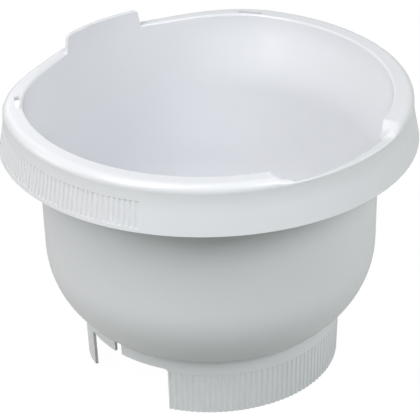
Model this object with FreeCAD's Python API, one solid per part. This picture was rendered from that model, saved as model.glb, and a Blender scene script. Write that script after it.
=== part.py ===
import FreeCAD, Part
import math
import os
from FreeCAD import Vector

# Stand mixer bowl, moulded in one piece of white plastic.
# Lengths are in millimetres. Z points up, and the origin is on the bowl's axis at the level it stands on.
# Bearings are in degrees round the axis. The raised back wall is at +Y, and the pouring lip is at -Y.

# Body
body_height = 170.5
body_radius = 98.2
body_draft = 0.85
body_wall = 2.3
bottom_curve_radius = 55.0
bottom_level = 23.0
bottom_wall = 2.6

# Collar round the mouth
mouth_spread = 9.0
land_width = 11.7
collar_height = 28.0
collar_flare = 3.4
collar_wall = 2.2
flare_drop = 10.0
flare_blend = 4.0
flare_start = 44.0
mouth_rounding = 1.2
shoulder_radius = 4.5

# Back of the collar, where the mouth closes in on the raised wall
back_land_width = 9.0
back_collar_height = 9.0
back_flare_drop = 6.8
back_flare_blend = 1.6
back_narrow_angle = 21.0
back_wide_angle = 61.0
back_skirt_short_angle = 44.0
back_skirt_full_angle = 51.0

# Raised back wall
raised_height = 10.4
raised_half_angle = 16.9
raised_lean = 2.0
raised_corner_radius = 2.0
raised_edge_radius = 0.6

# Pouring lip
lip_edge_drop = 3.4
lip_inner_drop = 7.0
lip_rounding = 8.5
lip_edge_radius = 0.6
lip_under_space = 2.0
lip_inner_angles = (20.6, 24.0)
lip_outer_angles = (18.0, 21.0)

# Slots in the land of the collar
slot_angle = 55.9
slot_inset = 8.6
slot_length = 15.0
slot_width = 2.8

# Grip flutes on the collar
grip_half_angle = 29.7
grip_flutes = 39
grip_flute_radius = 1.25
grip_flute_depth = 0.6
grip_flute_bottom = 2.2
grip_flute_top = 17.0

# Base ring
ring_radius = 74.9
ring_wall = 1.7
ring_draft = 1.8
ring_fillet = 2.0
ring_front_angle = 61.4
ring_back_angle = 70.7
ring_window_height = 27.8
ring_window_rounding = 2.4
ring_slit_angle = 92.7
ring_slit_width = 5.4
ring_toe_length = 28.0
ring_toe_height = 4.2

# Flutes on the front of the base ring
ring_flute_pitch = 2.5
ring_flute_margin = 1.5
ring_flute_radius = 1.25
ring_flute_depth = 0.5
ring_flute_top = 26.0

join_tolerance = 0.001

AXIS = Vector(0, 0, 1)
ORIGIN = Vector(0, 0, 0)
BACK = 90.0
FRONT = 270.0


def at(radius, height, bearing=0.0):
    """Point at a radius and a height, on a bearing round the axis."""
    turn = math.radians(bearing)
    return Vector(radius * math.cos(turn), radius * math.sin(turn), height)


def ease(low, high, value):
    """Smooth step from 0 at low to 1 at high."""
    part = min(max((value - low) / (high - low), 0.0), 1.0)
    return part * part * (3.0 - 2.0 * part)


def off_bearing(bearing, centre):
    """How far a bearing lies from a centre bearing, from 0 to 180 degrees."""
    return abs((bearing - centre + 180.0) % 360.0 - 180.0)


def closed_face(points):
    return Part.Face(Part.makePolygon(points + [points[0]]))


def turned(shape, bearing):
    copy = shape.copy()
    copy.rotate(ORIGIN, AXIS, bearing)
    return copy


def body_radius_at(height):
    """Outer radius of the drafted part of the body."""
    return body_radius - (body_height - height) * math.tan(math.radians(body_draft))


def bottom_curve_centre():
    """Radius and height of the centre that the round bottom corner is drawn from."""
    level = bottom_level + bottom_curve_radius
    return body_radius_at(level) - bottom_curve_radius, level


class Path:
    """Outline in the plane of one bearing, drawn with lines and rounded corners."""

    def __init__(self, bearing, radius, height):
        self.bearing = bearing
        self.start = (radius, height)
        self.here = (radius, height)
        self.edges = []

    def place(self, point):
        return at(point[0], point[1], self.bearing)

    def line(self, point):
        self.edges.append(Part.LineSegment(self.place(self.here), self.place(point)).toShape())
        self.here = point

    def curve(self, control_1, control_2, point):
        bezier = Part.BezierCurve()
        bezier.setPoles([self.place(p) for p in (self.here, control_1, control_2, point)])
        self.edges.append(bezier.toShape())
        self.here = point

    def corner(self, point, end):
        """Arc from here to end, tangent to the two legs that meet at point."""
        leg = math.dist(self.here, point)
        chord_middle = tuple((a + b) / 2.0 for a, b in zip(self.here, end))
        depth = math.dist(chord_middle, point)
        half_chord = math.dist(self.here, end) / 2.0
        bulge = half_chord * (leg - half_chord) / depth
        middle = step_along(chord_middle, point, bulge)
        self.edges.append(Part.Arc(*map(self.place, (self.here, middle, end))).toShape())
        self.here = end

    def wire(self):
        self.line(self.start)
        return Part.Wire(self.edges)


def step_along(first, second, length):
    """Point at a length from first toward second."""
    span = math.dist(first, second)
    return tuple(a + (b - a) * length / span for a, b in zip(first, second))


def land_edges(bearing):
    """Radius of the mouth and of the collar's outside, that the land runs between."""
    narrow = 1.0 - ease(back_narrow_angle, back_wide_angle, off_bearing(bearing, BACK))
    mouth = body_radius - body_wall + mouth_spread * (1.0 - narrow)
    return mouth, mouth + land_width + (back_land_width - land_width) * narrow


def collar_section(bearing):
    """Cut through the top of the bowl: flared wall, land, shoulder and skirt."""
    from_back = off_bearing(bearing, BACK)
    from_lip = off_bearing(bearing, FRONT)
    short = 1.0 - ease(back_skirt_short_angle, back_skirt_full_angle, from_back)
    lip_in = 1.0 - ease(*lip_inner_angles, from_lip)
    lip_out = 1.0 - ease(*lip_outer_angles, from_lip)

    mouth, outside = land_edges(bearing)
    start_level = body_height - flare_start
    start_radius = body_radius_at(start_level) - body_wall
    skirt_height = collar_height + (back_collar_height - collar_height) * short
    flare = collar_flare * skirt_height / collar_height
    foot_level = body_height - skirt_height
    flare_level = body_height - flare_drop - (back_flare_drop - flare_drop) * short

    mouth_corner = (mouth, body_height - lip_inner_drop * lip_in)
    shoulder_corner = (outside, body_height - lip_edge_drop * lip_out)
    rounding = mouth_rounding + (lip_rounding - mouth_rounding) * lip_in
    shoulder = shoulder_radius + (lip_edge_radius - shoulder_radius) * lip_out
    blend = flare_blend + (back_flare_blend - flare_blend) * short

    path = Path(bearing, start_radius, start_level)
    mouth_start = (mouth, mouth_corner[1] - rounding)
    rise = flare_start / 3.0
    lean = math.tan(math.radians(body_draft)) * rise
    path.curve((start_radius + lean, start_level + rise),
               (mouth - lean, mouth_start[1] - rise), mouth_start)
    path.corner(mouth_corner, step_along(mouth_corner, shoulder_corner, rounding))
    path.line(step_along(shoulder_corner, mouth_corner, shoulder))
    path.corner(shoulder_corner, (outside, shoulder_corner[1] - shoulder))
    path.line((outside, flare_level + blend))
    flare_end = step_along((outside, flare_level), (outside + flare, foot_level), blend)
    path.corner((outside, flare_level), flare_end)
    path.line((outside + flare, foot_level))
    path.line((outside + flare - collar_wall, foot_level))
    path.line((outside - collar_wall, flare_level))

    under_shoulder = (outside - collar_wall, shoulder_corner[1] - collar_wall)
    under_mouth = (mouth + body_wall + lip_under_space * lip_in,
                   mouth_corner[1] - collar_wall - lip_under_space * lip_in)
    path.line(under_shoulder)
    path.line(under_mouth)
    path.curve((mouth + body_wall - lean, mouth_start[1] - rise),
               (start_radius + body_wall + lean, start_level + rise),
               (start_radius + body_wall, start_level))
    return path.wire()


def spread(first, last, step):
    """Bearings from first to last, in equal steps of about the given size."""
    count = max(1, round((last - first) / step))
    return [first + (last - first) * index / count for index in range(count + 1)]


def turned_collar(first, last):
    """Stretch of collar that keeps its section, turned from one bearing to another."""
    return Part.Face(collar_section(first)).revolve(ORIGIN, AXIS, last - first)


def lofted_collar(first, last, step):
    """Stretch of collar whose section changes, lofted from one bearing to another."""
    return Part.makeLoft([collar_section(bearing) for bearing in spread(first, last, step)], True)


def make_collar():
    """Turned where the section stays the same, and lofted beside the raised wall and the lip."""
    back_near, back_far = back_narrow_angle - 1.5, back_wide_angle + 1.5
    lip_near, lip_far = min(lip_outer_angles) - 1.0, max(lip_inner_angles) + 1.0
    return [
        turned_collar(BACK - back_near, BACK + back_near),
        lofted_collar(BACK + back_near, BACK + back_far, 3.0),
        turned_collar(BACK + back_far, FRONT - lip_far),
        lofted_collar(FRONT - lip_far, FRONT - lip_near, 1.0),
        turned_collar(FRONT - lip_near, FRONT + lip_near),
        lofted_collar(FRONT + lip_near, FRONT + lip_far, 1.0),
        turned_collar(FRONT + lip_far, 360.0 + BACK - back_far),
        lofted_collar(BACK - back_far, BACK - back_near, 3.0),
    ]


def make_body():
    """Drafted wall, round bottom corner and flat bottom, turned about the axis."""
    top = body_height - flare_start
    centre_radius, centre_level = bottom_curve_centre()
    tangent_radius = centre_radius + bottom_curve_radius
    inner_curve = bottom_curve_radius - body_wall
    floor_level = bottom_level + bottom_wall
    inner_centre = floor_level + inner_curve

    def bend(radius, level):
        middle = math.radians(-45.0)
        return Part.Arc(at(centre_radius + radius, level),
                        at(centre_radius + radius * math.cos(middle), level + radius * math.sin(middle)),
                        at(centre_radius, level - radius)).toShape()

    outside_top = body_radius_at(top)
    inside_top = outside_top - body_wall
    edges = [
        Part.LineSegment(at(outside_top, top), at(tangent_radius, centre_level)).toShape(),
        bend(bottom_curve_radius, centre_level),
        Part.LineSegment(at(centre_radius, bottom_level), at(0, bottom_level)).toShape(),
        Part.LineSegment(at(0, bottom_level), at(0, floor_level)).toShape(),
        Part.LineSegment(at(0, floor_level), at(centre_radius, floor_level)).toShape(),
        bend(inner_curve, inner_centre),
        Part.LineSegment(at(centre_radius + inner_curve, inner_centre), at(inside_top, top)).toShape(),
        Part.LineSegment(at(inside_top, top), at(outside_top, top)).toShape(),
    ]
    section = Part.Face(Part.Wire(Part.__sortEdges__(edges)))
    return section.revolve(ORIGIN, AXIS, 360.0)


def sector(section, half_angle, bearing):
    """A closed face at bearing 0, turned to both sides of a bearing."""
    return turned(section, bearing - half_angle).revolve(ORIGIN, AXIS, 2.0 * half_angle)


def make_raised_wall():
    """Wall that carries the bowl's inside up past the land, with leaning ends and rounded corners."""
    inside = body_radius - body_wall
    foot = body_height - shoulder_radius
    top = body_height + raised_height
    path = Path(0.0, inside, foot)
    path.line((inside, top - raised_edge_radius))
    path.corner((inside, top), (inside + raised_edge_radius, top))
    path.line((body_radius - raised_edge_radius, top))
    path.corner((body_radius, top), (body_radius, top - raised_edge_radius))
    path.line((body_radius, foot))
    wall = sector(Part.Face(path.wire()), raised_half_angle + 3.0, BACK)
    half = (inside + body_wall / 2.0) * math.sin(math.radians(raised_half_angle))
    top_half = half - raised_lean
    near, far = inside * 0.5, body_radius * 1.1
    outline = [Vector(-half, near, foot), Vector(half, near, foot), Vector(half, near, body_height),
               Vector(top_half, near, top), Vector(-top_half, near, top), Vector(-half, near, body_height)]
    gate = closed_face(outline).extrude(Vector(0, far - near, 0))
    corners = [edge for edge in gate.Edges if abs(edge.CenterOfMass.z - top) < 1e-6
               and abs(abs(edge.CenterOfMass.x) - top_half) < 1e-6]
    return wall.common(gate.makeFillet(raised_corner_radius, corners))


def ring_junction():
    """Where the fillet touches the ring, where it touches the body, and a point between, as radius and height."""
    centre_radius, centre_level = bottom_curve_centre()
    reach = bottom_curve_radius + ring_fillet
    slope = math.tan(math.radians(ring_draft))
    level = bottom_level
    for _ in range(20):
        across = ring_radius + slope * level + ring_fillet - centre_radius
        level = centre_level - math.sqrt(reach ** 2 - across ** 2)
    fillet = (ring_radius + slope * level + ring_fillet, level)
    on_ring = (fillet[0] - ring_fillet, level)
    on_body = step_along(fillet, (centre_radius, centre_level), ring_fillet)
    halfway = tuple((a + b) / 2.0 for a, b in zip(on_ring, on_body))
    return on_ring, step_along(fillet, halfway, ring_fillet), on_body


def make_ring():
    """Base ring under the bowl, with a fillet at its top, and its windows, slits and flutes cut out."""
    inside = ring_radius - ring_wall
    on_ring, between, on_body = ring_junction()
    top = on_body[1]
    inside_top = inside + math.tan(math.radians(ring_draft)) * top
    edges = [
        Part.LineSegment(at(inside, 0), at(ring_radius, 0)).toShape(),
        Part.LineSegment(at(ring_radius, 0), at(*on_ring)).toShape(),
        Part.Arc(at(*on_ring), at(*between), at(*on_body)).toShape(),
        Part.LineSegment(at(*on_body), at(inside_top, top)).toShape(),
        Part.LineSegment(at(inside_top, top), at(inside, 0)).toShape(),
    ]
    ring = Part.Face(Part.Wire(edges)).revolve(ORIGIN, AXIS, 360.0)
    near, far = inside - 2.0, on_body[0] + 2.0
    half_window = (180.0 - ring_front_angle - ring_back_angle) / 2.0
    cutters = []
    for side in (1.0, -1.0):
        middle = BACK + side * (ring_back_angle + half_window)
        below = closed_face([at(near, -1), at(far, -1), at(far, ring_window_height), at(near, ring_window_height)])
        window = sector(below, half_window, middle)
        upper = [edge for edge in window.Edges if abs(edge.CenterOfMass.z - ring_window_height) < 1e-6
                 and abs(edge.Length - (far - near)) < 1e-6]
        cutters.append(window.makeFillet(ring_window_rounding, upper))
        slit = Part.makeBox(far - near, ring_slit_width, top + 1.0,
                            Vector(near, -ring_slit_width / 2.0, -1.0))
        cutters.append(turned(slit, BACK + side * ring_slit_angle))
        toe = closed_face([Vector(near, side * 1.0, -1.0), Vector(near, -side * ring_toe_length, 0.0),
                           Vector(near, side * 1.0, ring_toe_height)])
        toe = toe.extrude(Vector(far - near, 0, 0))
        cutters.append(turned(toe, BACK + side * ring_back_angle))
    return ring.cut(cutters)


def ring_flutes():
    """Upright rounded grooves round the front of the base ring."""
    reach = ring_front_angle - ring_flute_margin
    lean = math.tan(math.radians(ring_draft))
    offset = ring_flute_radius - ring_flute_depth
    start = at(ring_radius + offset - lean, -1.0)
    direction = Vector(lean, 0, 1)
    groove = Part.makeCylinder(ring_flute_radius, (ring_flute_top + 1.0) * direction.Length, start, direction)
    return [turned(groove, bearing) for bearing in spread(FRONT - reach, FRONT + reach, ring_flute_pitch)]


def grip_flutes_round(centre):
    """Rounded grooves down the flared skirt, that end above its bottom edge."""
    _, outside = land_edges(centre)
    foot = body_height - collar_height
    rise = collar_height - flare_drop
    lean = -collar_flare / rise
    offset = grip_flute_radius - grip_flute_depth
    start = at(outside + collar_flare + lean * grip_flute_bottom + offset, foot + grip_flute_bottom)
    direction = Vector(lean, 0, 1)
    length = (grip_flute_top - grip_flute_bottom) * direction.Length
    groove = Part.makeCylinder(grip_flute_radius, length, start, direction)
    pitch = 2.0 * grip_half_angle / (grip_flutes - 1)
    return [turned(groove, bearing)
            for bearing in spread(centre - grip_half_angle, centre + grip_half_angle, pitch)]


def land_slots():
    """Slots through the land, one on each side of the raised wall."""
    _, outside = land_edges(BACK + slot_angle)
    radius = outside - slot_inset
    reach = math.degrees((slot_length - slot_width) / 2.0 / radius)
    low, high = body_height - 2.0 * collar_wall, body_height + 1.0
    half = slot_width / 2.0
    section = closed_face([at(radius - half, low), at(radius + half, low),
                           at(radius + half, high), at(radius - half, high)])
    slots = []
    for side in (1.0, -1.0):
        centre = BACK + side * slot_angle
        slot = sector(section, reach, centre)
        ends = [Part.makeCylinder(half, high - low, at(radius, low, centre + end))
                for end in (-reach, reach)]
        slots.append(slot.fuse(ends))
    return slots


def make_bowl():
    """The whole moulding, as one solid."""
    solids = make_collar() + [make_body(), make_ring(), make_raised_wall()]
    bowl = solids[0].fuse(solids[1:], join_tolerance)
    grooves = ring_flutes() + grip_flutes_round(0.0) + grip_flutes_round(180.0) + land_slots()
    bowl = bowl.cut(grooves)
    return bowl.Solids[0] if len(bowl.Solids) == 1 else bowl


os.makedirs("parts", exist_ok=True)
bowl = make_bowl()
bowl.exportStep("parts/bowl.step")
print("bowl:", len(bowl.Solids), "solid,", len(bowl.Faces), "faces, valid", bowl.isValid(),
      ", volume", round(bowl.Volume / 1000.0, 1), "cm3")
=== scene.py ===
import math

import bpy
from mathutils import Matrix, Vector

# Stand mixer bowl: one white moulding, standing on a plain white floor.
# Metres, Z up. The raised wall is at +Y and the pouring lip at -Y.

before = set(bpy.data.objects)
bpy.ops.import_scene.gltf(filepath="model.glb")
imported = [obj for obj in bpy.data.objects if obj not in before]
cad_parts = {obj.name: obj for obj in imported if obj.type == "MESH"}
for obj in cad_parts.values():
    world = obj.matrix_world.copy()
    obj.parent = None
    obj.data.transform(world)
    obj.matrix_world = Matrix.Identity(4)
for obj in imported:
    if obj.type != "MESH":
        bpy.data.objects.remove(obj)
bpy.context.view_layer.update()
print("frame loaded")


# Places round the bowl

def outward(azimuth, elevation):
    turn = math.radians(azimuth)
    rise = math.radians(elevation)
    return Vector((math.cos(turn) * math.cos(rise), math.sin(turn) * math.cos(rise), math.sin(rise)))


def facing(aim, out, distance):     # stands that far out from the aim and looks back at it
    return Matrix.Translation(Vector(aim) + out * distance) @ out.to_track_quat("Z", "Y").to_matrix().to_4x4()


# Camera

cameraView = {
    "aim": (0.0, 0.0, 0.09125),     # a point on the bowl's axis
    "azimuth": -131.4,              # degrees round the axis, from +X
    "elevation": 29.35,             # degrees above the floor
    "distance": 1.1687,
    "roll": -1.16,                  # degrees; the picture's right side stands a little high
    "lens": 171.4,                  # millimetres
    "sensor": 36.0,
    "nearest": 0.05,
    "farthest": 20.0,
}


def addCamera(view):
    data = bpy.data.cameras.new("bowlCamera")
    data.lens = view["lens"]
    data.sensor_width = view["sensor"]
    data.clip_start = view["nearest"]
    data.clip_end = view["farthest"]
    camera = bpy.data.objects.new("bowlCamera", data)
    bpy.context.scene.collection.objects.link(camera)
    back = outward(view["azimuth"], view["elevation"])
    roll = Matrix.Rotation(math.radians(view["roll"]), 4, "Z")
    camera.matrix_world = facing(view["aim"], back, view["distance"]) @ roll
    bpy.context.scene.camera = camera


addCamera(cameraView)
print("camera placed")


# Shader helpers

def newMaterial(name):
    material = bpy.data.materials.new(name)
    material.use_nodes = True
    material.node_tree.nodes.clear()
    return material, material.node_tree


def addNode(tree, kind, x, y, label="", **settings):
    node = tree.nodes.new(kind)
    node.location = (x, y)
    node.label = label
    for name, value in settings.items():
        setattr(node, name, value)
    return node


def opaque(colour):
    return (*colour, 1.0)


# Stage

stageSettings = {
    "floorSize": 8.0,
    "floorShade": (0.34, 0.36, 0.335),  # the floor's own shade, which lights the bowl from below
    "cleanWhite": 0.92,                 # how much of the floor that the camera sees is plain white
    "mirroredWhite": 0.5,               # how much of the white a glossy surface mirrors
    "glow": (1.07, 1.07, 1.07),         # the floor's plain white, before its own shade is mixed in
    "backdrop": (1.0, 1.0, 1.0),
    "whiteStrength": 1.0,
    "worldLight": 0.06,
    "worldTint": (0.7, 1.0, 0.9),
}


# The share of the white that a ray meets: all for the camera and through glass, part of it in a
# glossy surface, and none for the light that falls on the bowl.
def addSeenShare(tree, settings):
    path = addNode(tree, "ShaderNodeLightPath", -800, 200)
    direct = addNode(tree, "ShaderNodeMath", -600, 250, "seen or through glass", operation="MAXIMUM")
    mirrored = addNode(tree, "ShaderNodeMath", -600, 50, "mirrored", operation="MULTIPLY")
    mirrored.inputs[1].default_value = settings["mirroredWhite"]
    seen = addNode(tree, "ShaderNodeMath", -400, 200, "seen", operation="MAXIMUM")
    tree.links.new(path.outputs["Is Camera Ray"], direct.inputs[0])
    tree.links.new(path.outputs["Is Transmission Ray"], direct.inputs[1])
    tree.links.new(path.outputs["Is Glossy Ray"], mirrored.inputs[0])
    tree.links.new(direct.outputs[0], seen.inputs[0])
    tree.links.new(mirrored.outputs[0], seen.inputs[1])
    return seen.outputs[0]


def whiteFloorMaterial(settings):
    material, tree = newMaterial("whiteFloor")
    output = addNode(tree, "ShaderNodeOutputMaterial", 600, 0)
    mix = addNode(tree, "ShaderNodeMixShader", 400, 0)
    diffuse = addNode(tree, "ShaderNodeBsdfDiffuse", 200, -100)
    diffuse.inputs["Color"].default_value = opaque(settings["floorShade"])
    glow = addNode(tree, "ShaderNodeEmission", 200, -250)
    glow.inputs["Color"].default_value = opaque(settings["glow"])
    glow.inputs["Strength"].default_value = settings["whiteStrength"]
    share = addNode(tree, "ShaderNodeMath", 0, 200, "clean white", operation="MULTIPLY")
    share.inputs[1].default_value = settings["cleanWhite"]
    tree.links.new(addSeenShare(tree, settings), share.inputs[0])
    tree.links.new(share.outputs[0], mix.inputs["Fac"])
    tree.links.new(diffuse.outputs[0], mix.inputs[1])
    tree.links.new(glow.outputs[0], mix.inputs[2])
    tree.links.new(mix.outputs[0], output.inputs["Surface"])
    return material


def addFloor(settings):
    bpy.ops.object.select_all(action="DESELECT")
    bpy.ops.mesh.primitive_plane_add(size=settings["floorSize"], location=(0.0, 0.0, 0.0))
    floor = bpy.context.object
    floor.name = "whiteFloor"
    floor.data.materials.append(whiteFloorMaterial(settings))


def lightWorld(settings):
    world = bpy.data.worlds.new("softRoom")
    bpy.context.scene.world = world
    world.use_nodes = True
    tree = world.node_tree
    tree.nodes.clear()
    output = addNode(tree, "ShaderNodeOutputWorld", 600, 0)
    mix = addNode(tree, "ShaderNodeMixShader", 400, 0)
    room = addNode(tree, "ShaderNodeBackground", 200, -50, "room light")
    room.inputs["Color"].default_value = opaque(settings["worldTint"])
    room.inputs["Strength"].default_value = settings["worldLight"]
    white = addNode(tree, "ShaderNodeBackground", 200, -200, "white behind")
    white.inputs["Color"].default_value = opaque(settings["backdrop"])
    white.inputs["Strength"].default_value = settings["whiteStrength"]
    tree.links.new(addSeenShare(tree, settings), mix.inputs["Fac"])
    tree.links.new(room.outputs[0], mix.inputs[1])
    tree.links.new(white.outputs[0], mix.inputs[2])
    tree.links.new(mix.outputs[0], output.inputs["Surface"])


# Lamps stand round the bowl at one distance and face one point inside it. Degrees and watts.
lampStand = {
    "aim": (0.0, 0.0, 0.10),
    "distance": 1.8,
}
lamps = {
    "leftSoftbox": {"azimuth": -176.4, "elevation": 40.0, "size": 0.8,
                    "power": 12.6, "tint": (1.0, 0.99, 0.97)},
    "rightSoftbox": {"azimuth": -86.4, "elevation": 40.0, "size": 0.8,
                     "power": 13.8, "tint": (0.95, 0.96, 1.0)},
    "lowRightSoftbox": {"azimuth": -41.4, "elevation": 18.0, "size": 0.8,
                        "power": 7.0, "tint": (1.0, 0.99, 0.92)},
    "lowLeftSoftbox": {"azimuth": 138.6, "elevation": 15.0, "size": 0.8,
                       "power": 5.0, "tint": (1.0, 0.96, 0.99)},
    "topSoftbox": {"azimuth": -176.4, "elevation": 65.0, "size": 0.8,
                   "power": 11.5, "tint": (1.0, 0.97, 0.99)},
    "backSoftbox": {"azimuth": 75.0, "elevation": 28.0, "size": 1.0,
                    "power": 4.0, "tint": (0.97, 0.98, 1.0)},
    "lowLamp": {"azimuth": -176.0, "elevation": 9.0, "size": 0.25,
                "power": 0.9, "tint": (1.0, 1.0, 1.0)},
}


def addLamp(name, lamp, stand):
    data = bpy.data.lights.new(name, "AREA")
    data.shape = "SQUARE"
    data.size = lamp["size"]
    data.energy = lamp["power"]
    data.color = lamp["tint"]
    lampObject = bpy.data.objects.new(name, data)
    bpy.context.scene.collection.objects.link(lampObject)
    out = outward(lamp["azimuth"], lamp["elevation"])
    lampObject.matrix_world = facing(stand["aim"], out, stand["distance"])


bpy.context.scene.view_settings.view_transform = "Standard"
addFloor(stageSettings)
lightWorld(stageSettings)
for lampName, lampSettings in lamps.items():
    addLamp(lampName, lampSettings, lampStand)
print("stage and lamps placed")


# White moulded plastic

plastic = {
    "colour": (0.80, 0.812, 0.838),
    "roughness": 0.235,
    "grainSize": 1400.0,            # patches to a metre, as in the other two sizes
    "grainDetail": 2.0,
    "grainHeight": 0.000003,
    "grainStrength": 1.0,
    "mottleSize": 22.0,
    "mottleDetail": 3.0,
    "mottleAmount": 0.015,          # lighter and darker than the colour
    "smudgeSize": 55.0,
    "smudgeDetail": 5.0,
    "smudgeAmount": 0.03,           # rougher and smoother than the roughness
}


def addNoise(tree, y, label, size, detail):
    noise = addNode(tree, "ShaderNodeTexNoise", -600, y, label)
    noise.inputs["Scale"].default_value = size
    noise.inputs["Detail"].default_value = detail
    return noise


def addSpread(tree, y, label, middle, amount):
    spread = addNode(tree, "ShaderNodeMapRange", -300, y, label)
    spread.inputs["To Min"].default_value = middle - amount
    spread.inputs["To Max"].default_value = middle + amount
    return spread


def bowlPlastic(settings):
    material, tree = newMaterial("whitePlastic")
    output = addNode(tree, "ShaderNodeOutputMaterial", 800, 0)
    shader = addNode(tree, "ShaderNodeBsdfPrincipled", 500, 0)
    place = addNode(tree, "ShaderNodeTexCoord", -900, 0)
    mottle = addNoise(tree, 200, "mottle", settings["mottleSize"], settings["mottleDetail"])
    shade = addSpread(tree, 250, "mottle shade", 1.0, settings["mottleAmount"])
    tint = addNode(tree, "ShaderNodeVectorMath", 0, 250, "tint", operation="SCALE")
    tint.inputs[0].default_value = settings["colour"]
    smudge = addNoise(tree, -50, "smudges", settings["smudgeSize"], settings["smudgeDetail"])
    polish = addSpread(tree, -50, "polish", settings["roughness"], settings["smudgeAmount"])
    grain = addNoise(tree, -350, "mould grain", settings["grainSize"], settings["grainDetail"])
    bump = addNode(tree, "ShaderNodeBump", 100, -350, "mould grain bump")
    bump.inputs["Strength"].default_value = settings["grainStrength"]
    bump.inputs["Distance"].default_value = settings["grainHeight"]
    for texture in (mottle, smudge, grain):
        tree.links.new(place.outputs["Object"], texture.inputs["Vector"])
    tree.links.new(mottle.outputs["Fac"], shade.inputs["Value"])
    tree.links.new(shade.outputs["Result"], tint.inputs["Scale"])
    tree.links.new(tint.outputs["Vector"], shader.inputs["Base Color"])
    tree.links.new(smudge.outputs["Fac"], polish.inputs["Value"])
    tree.links.new(polish.outputs["Result"], shader.inputs["Roughness"])
    tree.links.new(grain.outputs["Fac"], bump.inputs["Height"])
    tree.links.new(bump.outputs["Normal"], shader.inputs["Normal"])
    tree.links.new(shader.outputs[0], output.inputs["Surface"])
    return material


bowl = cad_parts["bowl"]
bowl.material_slots[0].material = bowlPlastic(plastic)
print("bowl dressed")
